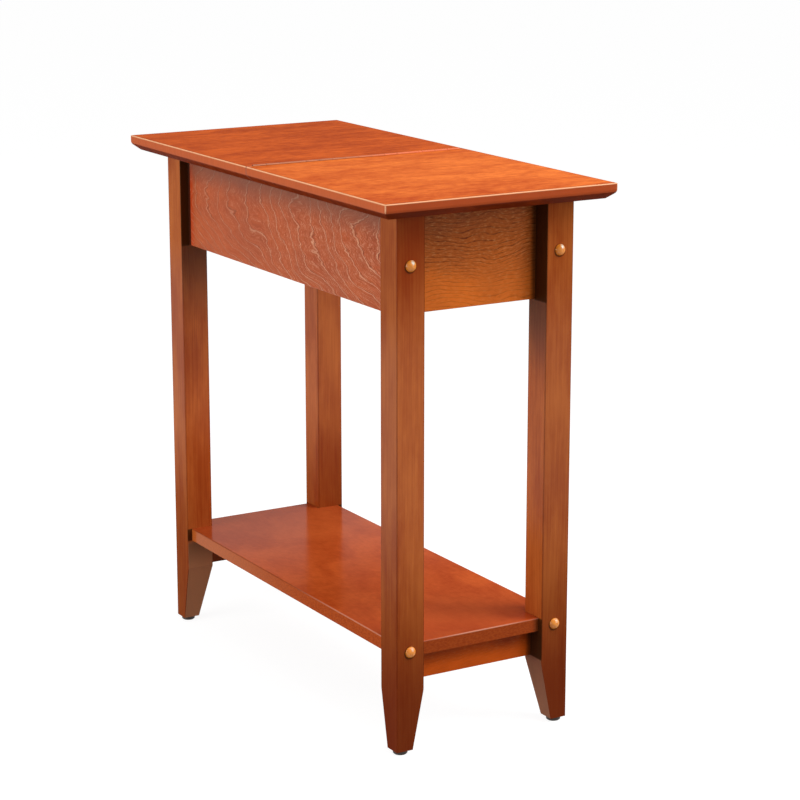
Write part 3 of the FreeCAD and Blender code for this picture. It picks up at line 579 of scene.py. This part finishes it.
finish(leg_wood("front_left", side_lighting=0.80, end_lighting=1.00, head=0.60, foot=(0.8, 0.2),
                taper=TAPER_FLOOR_LIGHT_GREY, shift=(1.7, 0.3, 2.9)),
       "front_left_leg")
finish(leg_wood("front_right", side_lighting=1.20, end_lighting=0.88, head=0.05, foot=(0.8, 0.2),
                taper=TAPER_FLOOR_LIGHT_GREY, shift=(4.1, 1.3, 0.6)),
       "front_right_leg")
finish(leg_wood("rear_left", side_lighting=0.92, end_lighting=1.40, head=0.35, foot=(0.5, 0.45),
                taper=TAPER_FLOOR_LIGHT_TAN, shift=(0.4, 6.2, 1.1)),
       "rear_left_leg")
finish(leg_wood("rear_right", side_lighting=1.36, end_lighting=0.94, head=0.35, foot=(0.8, 0.4),
                taper=TAPER_FLOOR_LIGHT_TAN, shift=(2.3, 3.8, 5.0)),
       "rear_right_leg")

# %% [markdown]
# ## Side aprons
# The outer faces of the long sides have a flat-cut veneer, whose rings show as nested arches with pale
# pores; the ridges and pores are partly figure and partly painted glints, and a dark painted shadow
# beside each ridge gives it relief. The inside and the edges are plain board. The arches are parabolas: a
# ring's number grows along the board and falls with the square of the distance from the middle of the
# arch. Noise bends them into the wandering lines of a real veneer. The lines and pores are boldest at the
# front. Under the top lie a dull band of painted shade and reflection and a line of painted shadow, and
# beside the rear leg the veneer is painted red, with painted shadow in the corner.

# %% Arches of the veneer
RING_WIDTH = 30 * MM
ARCH_DEPTH = 35 * MM
ARCH_BEND = 18.0


def arches(place):
    """A number that grows by one from arch to arch, bent by slow, quicker and very quick noise."""
    x, y, z = place.axes()
    below = (side_high.z - ARCH_DEPTH) - z
    sway = place.stretched((9, 11, 16)).noise(detail=1.0) - 0.5
    kinks = place.stretched((9, 9, 48), (0, 0, 3)).noise(detail=3.0, roughness=0.6) - 0.5
    jitter = place.stretched((60, 45, 150)).noise(detail=3.0) - 0.5
    return (0 - y - ARCH_BEND * below * below) / RING_WIDTH + sway * 3.0 + kinks * 1.4 + jitter * 0.2


print("arches on a side apron", round((side_high.y - side_low.y) / RING_WIDTH, 1))

# %% Side apron finish
VENEER_LIGHT = srgb(200, 92, 44)
VENEER_DARK = srgb(176, 80, 42)
VENEER_LINE = srgb(104, 42, 20)
VENEER_RED = srgb(198, 66, 22)
VENEER_SHADE_AND_SHEEN = srgb(112, 76, 62)
PORE_PALE_AND_GLINT = srgb(244, 188, 150)
BOARD_LIGHT = srgb(190, 102, 58)
BOARD_DARK = srgb(150, 72, 36)
CORNER_SHADOW = srgb(40, 18, 8)
LINES_FADE = (160 * MM, -40 * MM)
PORES_FADE = (140 * MM, -140 * MM)


def veneer_wood():
    """A pale ridge with a dark line of painted shadow beside it marks each arch, and pores follow the
    arches; the pale marks are partly painted glints.
    """
    material, place = new_material("side_apron_veneer")
    x, y, z = place.axes()
    rings = arches(place)
    ring = rings.part()
    # Each arch has a pale ridge, partly a painted glint, and a dark line of painted shadow, and short
    # pores lie along it
    ridge = ring.step(0.90, 0.96) * ring.step(1.0, 0.98)
    shadow = ring.step(0.08, 0.02) * ring.step(0.0, 0.02)
    streaks = fibres(rings, z, 16.0, 8 * MM)
    specks = place.stretched((450, 450, 520)).noise(detail=2.0, roughness=0.7)
    pores = streaks.step(0.46, 0.66) * specks.step(0.36, 0.58)
    bold = 0.5 + 0.5 * y.step(*LINES_FADE)
    dense = 0.5 + 0.5 * y.step(*PORES_FADE)
    # The ground of the veneer, with the dark lines on it
    clouds = place.stretched((16, 16, 30), (4.0, 0, 0)).noise(detail=3.0)
    veneer = (clouds.step(0.3, 0.7) * 0.6 + ring * 0.4).mixed(VENEER_LIGHT, VENEER_DARK)
    veneer = (shadow * 0.55 + streaks.step(0.48, 0.32) * dense * 0.36).mixed(veneer, VENEER_LINE)
    veneer = (y.short_of(side_high.y, 18.0, 9.0) * 0.9).mixed(veneer, VENEER_RED)
    # Plain board wherever it isn't the outer face, and the pale marks on the veneer, partly painted
    # glints
    lengths = place.stretched((260, 5, 260)).noise(detail=3.0)
    board = lengths.step(0.3, 0.7).mixed(BOARD_DARK, BOARD_LIGHT)
    outside = abs(x).short_of(-side_low.x, 0.5, 0.1)
    pale = (ridge * bold * (0.22 + 0.5 * specks) + pores * dense * 0.5) * outside
    wood = pale.mixed(outside.mixed(board, veneer), PORE_PALE_AND_GLINT)
    # A dull band of painted shade and reflection under the top, and painted shadow under the top and
    # beside the rear leg
    wood = (z.short_of(side_high.z, 42.0, 10.0) * outside * 0.65).mixed(wood, VENEER_SHADE_AND_SHEEN)
    under_top = z.short_of(side_high.z, 13.0, 8.0) * 0.6
    by_leg = y.short_of(side_high.y, 7.5, 5.0) * 0.95
    colour = (under_top.either(by_leg) * outside).mixed(wood, CORNER_SHADOW)
    return lacquered(material, colour, 0.42 + pores * 0.15, 0 - pale, 0.2 * MM,
                     {"Specular IOR Level": 0.10, "IOR": 1.5})


finish(veneer_wood(), "left_side_apron", "right_side_apron")

# %% [markdown]
# ## End aprons and stretchers
# The short boards show fine wavy lines that run across the table. A picture of such a figure would have
# to be cut to each board; here it is a set of thin dark lines and pale dashes on a golden ground, bent by
# a slow noise. Painted shade darkens the ground towards the upper edge, and a painted shadow lies by the
# right-hand leg. The stretchers took more stain, so they hardly show it, and are painted dark inside the
# frame for shade.

# %% End apron and stretcher finish
STROKE_DARK = srgb(92, 38, 14)
STROKE_PALE = srgb(238, 168, 104)
INSIDE_SHADE = srgb(70, 34, 16)
LINE_SPACING = 4.5 * MM


def cross_wood(name, light, dark, figure, inner, low, high, shift):
    """Lines along X on a ground with painted shade, darker towards the upper edge and lighter towards the
    low edge of the board.

    Figure is the strength of the lines, inner that of the painted shade on the face inside the frame,
    and low and high are the heights of the board's edges.
    """
    material, place = new_material(name)
    x, y, z = place.axes()
    # Thin lines and short strokes that follow bent rings
    bend = place.stretched((9, 9, 14), shift).noise(detail=2.0)
    ripple = place.stretched((60, 60, 200), shift).noise(detail=2.0)
    rings = z / LINE_SPACING + bend * 11.0 + ripple * 0.6
    ring = rings.part()
    line = ring.step(0.0, 0.06) * ring.step(0.30, 0.10)
    broken = place.stretched((40, 40, 160), shift).noise(detail=2.0).step(0.36, 0.6)
    strokes = fibres(rings, x, 3.2, 7 * MM)
    # The ground, with painted shade that darkens it towards the upper edge
    clouds = place.stretched((16, 16, 24), shift).noise(detail=4.0)
    wood = (clouds.step(0.3, 0.7) * 0.3 + z.step(high - 8 * MM, low + 8 * MM) * 0.7).mixed(dark, light)
    # How clearly the figure shows: less at the low edge, and not on the upper edge itself
    fresh = 0.45 + 0.65 * z.step(low + 0.15 * (high - low), low + 0.55 * (high - low))
    fresh = fresh * figure * z.short_of(high, 0.1, 0.5)
    marks = line * (0.2 + 0.4 * broken) + strokes.step(0.48, 0.32) * 0.3
    wood = (marks * fresh).mixed(wood, STROKE_DARK)
    wood = (strokes.step(0.50, 0.68) * 0.27 * fresh).mixed(wood, STROKE_PALE)
    # Painted shade inside the frame, and painted shadow beside the right-hand leg
    inside = abs(y).short_of(-end_high.y, -0.8, -0.2)
    wood = (inside * inner).mixed(wood, INSIDE_SHADE)
    colour = (x.short_of(end_high.x, 8.0, 1.0) * 0.75).mixed(wood, PAINTED_SHADOW)
    return lacquered(material, colour, 0.4 + strokes * 0.14, strokes, 0.08 * MM, SATIN)


finish(cross_wood("end_apron_cherry", srgb(240, 122, 42), srgb(156, 80, 40), figure=1.0, inner=0.0,
                  low=end_low.z, high=end_high.z, shift=(0, 0, 0)),
       "front_apron", "rear_apron")
finish(cross_wood("stretcher_cherry", srgb(232, 99, 24), srgb(138, 50, 15), figure=0.25, inner=0.7,
                  low=stretcher_low.z, high=stretcher_high.z, shift=(2.0, 7.0, 1.0)),
       "front_stretcher", "rear_stretcher")

# %% [markdown]
# ## Shelf
# The shelf is a smooth panel like the top, but its edges are cut through and show a fine speckle.
# They could be pieces of their own; here they are told from the upper face by their height.
# The arrises at the front carry a painted highlight, those along the rear half are darker, and the
# lacquer is glossiest towards the rear, where nothing is put down on it.

# %% Face and edges of the shelf
SHELF_LIGHT = srgb(226, 104, 46)
SHELF_DARK = srgb(190, 74, 28)
SHELF_FRONT = srgb(172, 70, 32)
SHELF_REAR = srgb(150, 66, 34)
EDGE_LIGHT = srgb(192, 86, 34)
EDGE_DARK = srgb(170, 70, 26)
EDGE_REAR = srgb(204, 112, 50)
EDGE_END = srgb(120, 46, 18)


def shelf_face(place):
    """The colour and grain of the upper face: clouds, streaks along Y and mottles, dark at both ends."""
    x, y, z = place.axes()
    clouds = place.stretched((18, 13, 18), (0.4, 2.2, 0)).noise(detail=4.0, roughness=0.6, distortion=0.5)
    rings = x / (11 * MM) + place.stretched((12, 8, 9)).noise(detail=2.0) * 3.0
    grain = fibres(rings, y, 8.0, 40 * MM)
    mottles = place.stretched((150, 110, 120)).noise(detail=4.0, roughness=0.65)
    tone = clouds.step(0.34, 0.68) * 0.6 + grain.step(0.3, 0.7) * 0.15 + mottles.step(0.3, 0.7) * 0.25
    face = tone.mixed(SHELF_DARK, SHELF_LIGHT)
    face = (y.step(-100 * MM, -250 * MM) * 0.45).mixed(face, SHELF_FRONT)
    return (y.step(50 * MM, 220 * MM) * 0.35).mixed(face, SHELF_REAR), grain


def shelf_edge(place, at_end):
    """The colour of the edges: a fine speckle, lighter to the rear, darker at the ends, and painted
    shadow by a leg.
    """
    x, y, z = place.axes()
    specks = place.stretched((300, 300, 700)).noise(detail=2.0)
    edge = specks.step(0.3, 0.7).mixed(EDGE_DARK, EDGE_LIGHT)
    edge = (y.step(-100 * MM, 200 * MM) * 0.5).mixed(edge, EDGE_REAR)
    edge = (at_end * 0.3).mixed(edge, EDGE_END)
    return (at_end * x.short_of(end_high.x, 10.0, 0.0) * 0.7).mixed(edge, PAINTED_SHADOW)


print("shelf from", round(shelf_low.z, 4), "to", round(shelf_high.z, 4))

# %% Shelf finish
RIM_HIGHLIGHT = srgb(236, 176, 150)
RIM_DARK = srgb(104, 40, 18)


def shelf_wood():
    """The upper face and the edges, with a painted highlight or a dark line along the arrises between
    them.
    """
    material, place = new_material("shelf_cherry")
    x, y, z = place.axes()
    face, grain = shelf_face(place)
    on_face = z.short_of(shelf_high.z, 0.5, 0.1)
    at_top = z.short_of(shelf_high.z, 1.4, 0.7)
    at_end = abs(y).short_of(shelf_high.y, 1.4, 0.6)
    at_side = abs(x).short_of(shelf_high.x, 1.4, 0.6)
    front = y.step(0.0, -150 * MM)
    # Face and edges, darker along the side arrises of the rear half
    wood = on_face.mixed(shelf_edge(place, at_end), face)
    wood = (at_side * at_top * (1 - front) * 0.45).mixed(wood, RIM_DARK)
    # Painted highlight along the front half's side arrises and the middle of both ends
    end_rim_highlight = at_end * (1 - 0.7 * abs(x).step(20 * MM, 70 * MM))
    rim_highlight = (at_side * front * 0.7).either(end_rim_highlight) * at_top
    colour = (rim_highlight * 0.6).mixed(wood, RIM_HIGHLIGHT)
    gloss = 0.06 + 0.30 * y.step(-100 * MM, 200 * MM)
    return lacquered(material, colour, 0.4 + grain * 0.08, grain, 0.04 * MM,
                     {**SATIN, "Coat Weight": gloss, "Coat Roughness": 0.16})


finish(shelf_wood(), "lower_shelf")

# %% [markdown]
# ## Hidden boards and dowels
# Inside the table the wood is bare and pale. One flat colour would do while the leaf is down, but the
# compartment shows when it is lifted, so each board has streaks that run along its length.


# %% Plain woods
def plain_wood(name, light, dark, roughness, crosswise):
    """A close-grained wood with fine streaks along Y, or along X in a board that runs crosswise."""
    material, place = new_material(name)
    x, y, z = place.axes()
    along, across = (x, y) if crosswise else (y, x)
    lumps = (5, 15, 15) if crosswise else (15, 5, 15)
    rings = (across + z) / (8 * MM) + place.stretched(lumps).noise(detail=2.0) * 2.0
    grain = fibres(rings, along, 6.0, 50 * MM)
    colour = grain.step(0.25, 0.75).mixed(dark, light)
    return lacquered(material, colour, roughness + grain * 0.1, grain, 0.05 * MM, SATIN)


INNER_LIGHT = srgb(206, 156, 106)
INNER_DARK = srgb(176, 122, 78)
ENDS = ("front", "rear")

finish(plain_wood("inner_wood_bare", INNER_LIGHT, INNER_DARK, 0.55, crosswise=False),
       "compartment_floor", "left_top_cleat", "right_top_cleat")
finish(plain_wood("divider_wood_bare", INNER_LIGHT, INNER_DARK, 0.55, crosswise=True), "divider_panel")
finish(plain_wood("dowel_beech", srgb(222, 186, 142), srgb(196, 154, 108), 0.6, crosswise=True),
       *[f"{end}_{rail}_dowels" for end in ENDS for rail in ("apron", "stretcher")])

# %% [markdown]
# ## Button plugs
# The eight button plugs are turned from a lighter wood and polished, so they stand out as
# honey-coloured dots. Each has a painted highlight, a soft pale spot in the same finish towards the top
# of its dome, stronger on the upper four than on the lower.

# %% Plug finish
PLUG_LIGHT = srgb(254, 158, 54)
PLUG_DARK = srgb(240, 138, 42)
PLUG_HIGHLIGHT = srgb(255, 244, 220)

corners = [f"{end}_{side}" for end in ENDS for side in ("left", "right")]


def plug_wood():
    """Fine grain, with a painted highlight above the middle of each plug."""
    material, place = new_material("plug_honey")
    x, y, z = place.axes()
    grain = fibres((x + z) / (3 * MM), y, 1.0, 20 * MM)
    wood = grain.step(0.25, 0.75).mixed(PLUG_DARK, PLUG_LIGHT)
    highlight_spot = spot(*from_plug(x, z), (1.0 * MM, 3.9 * MM), 0.6 * MM, 2.4 * MM)
    highlight_strength = 0.4 + 0.6 * z.step(HALFWAY_UP, HALFWAY_UP + 10 * MM)
    colour = (highlight_spot * highlight_strength).mixed(wood, PLUG_HIGHLIGHT)
    return lacquered(material, colour, 0.3 + grain * 0.1, grain, 0.02 * MM,
                     {"Specular IOR Level": 0.0, "Coat Weight": 0.7, "Coat Roughness": 0.08})


finish(plug_wood(), *[f"{corner}_{level}_plug" for corner in corners for level in ("upper", "lower")])

# %% [markdown]
# ## Glides and metal
# The glides are dark moulded plastic with a scuffed face. The slim hinge and the hidden bolts are
# satin metal, brushed along their length. Smooth metal would mirror the white surround, and the brush
# marks keep it dull. The right-hand end of the hinge is painted in the wood's colour, so its line fades
# there.

# %% Plastic and metal
HINGE_WOOD_COLOUR = srgb(218, 104, 46)
WOOD_COLOURED_END = (-30 * MM, 80 * MM)


def moulded_plastic():
    """Dark plastic with small paler, rougher scuffs."""
    material, place = new_material("glide_brown_plastic")
    scuffs = place.stretched((1400, 1400, 1400)).noise(detail=3.0)
    colour = scuffs.mixed(srgb(34, 26, 22), srgb(62, 48, 40))
    return lacquered(material, colour, 0.4 + scuffs * 0.25, scuffs, 0.04 * MM,
                     {"Specular IOR Level": 0.4})


def brushed_metal(name, light, dark, roughness, sprayed):
    """Fine brush marks along X; where sprayed is set, the right-hand end is painted in the wood's colour.
    """
    material, place = new_material(name)
    brush = place.stretched((60, 2600, 2600)).noise(detail=3.0, roughness=0.7)
    colour = brush.mixed(dark, light)
    metallic = 1.0
    if sprayed:
        wood_coloured = place.axes()[0].step(*WOOD_COLOURED_END) * 0.95
        colour = wood_coloured.mixed(colour, HINGE_WOOD_COLOUR)
        metallic = 1 - wood_coloured
    return lacquered(material, colour, roughness + brush * 0.15, brush, 0.01 * MM, {"Metallic": metallic})


finish(moulded_plastic(), *[f"{corner}_glide" for corner in corners])
finish(brushed_metal("hinge_antique_brass", srgb(168, 106, 78), srgb(130, 80, 57), 0.42, sprayed=True),
       "fixed_hinge_plate", "moving_hinge_plate", "hinge_pin",
       "fixed_hinge_screws", "moving_hinge_screws")
finish(brushed_metal("fastener_zinc", srgb(204, 204, 200), srgb(160, 160, 158), 0.35, sprayed=False),
       "upper_leg_bolts", "lower_leg_bolts", "upper_barrel_nuts", "lower_barrel_nuts",
       "cleat_top_screws", "cleat_side_screws")

# %% [markdown]
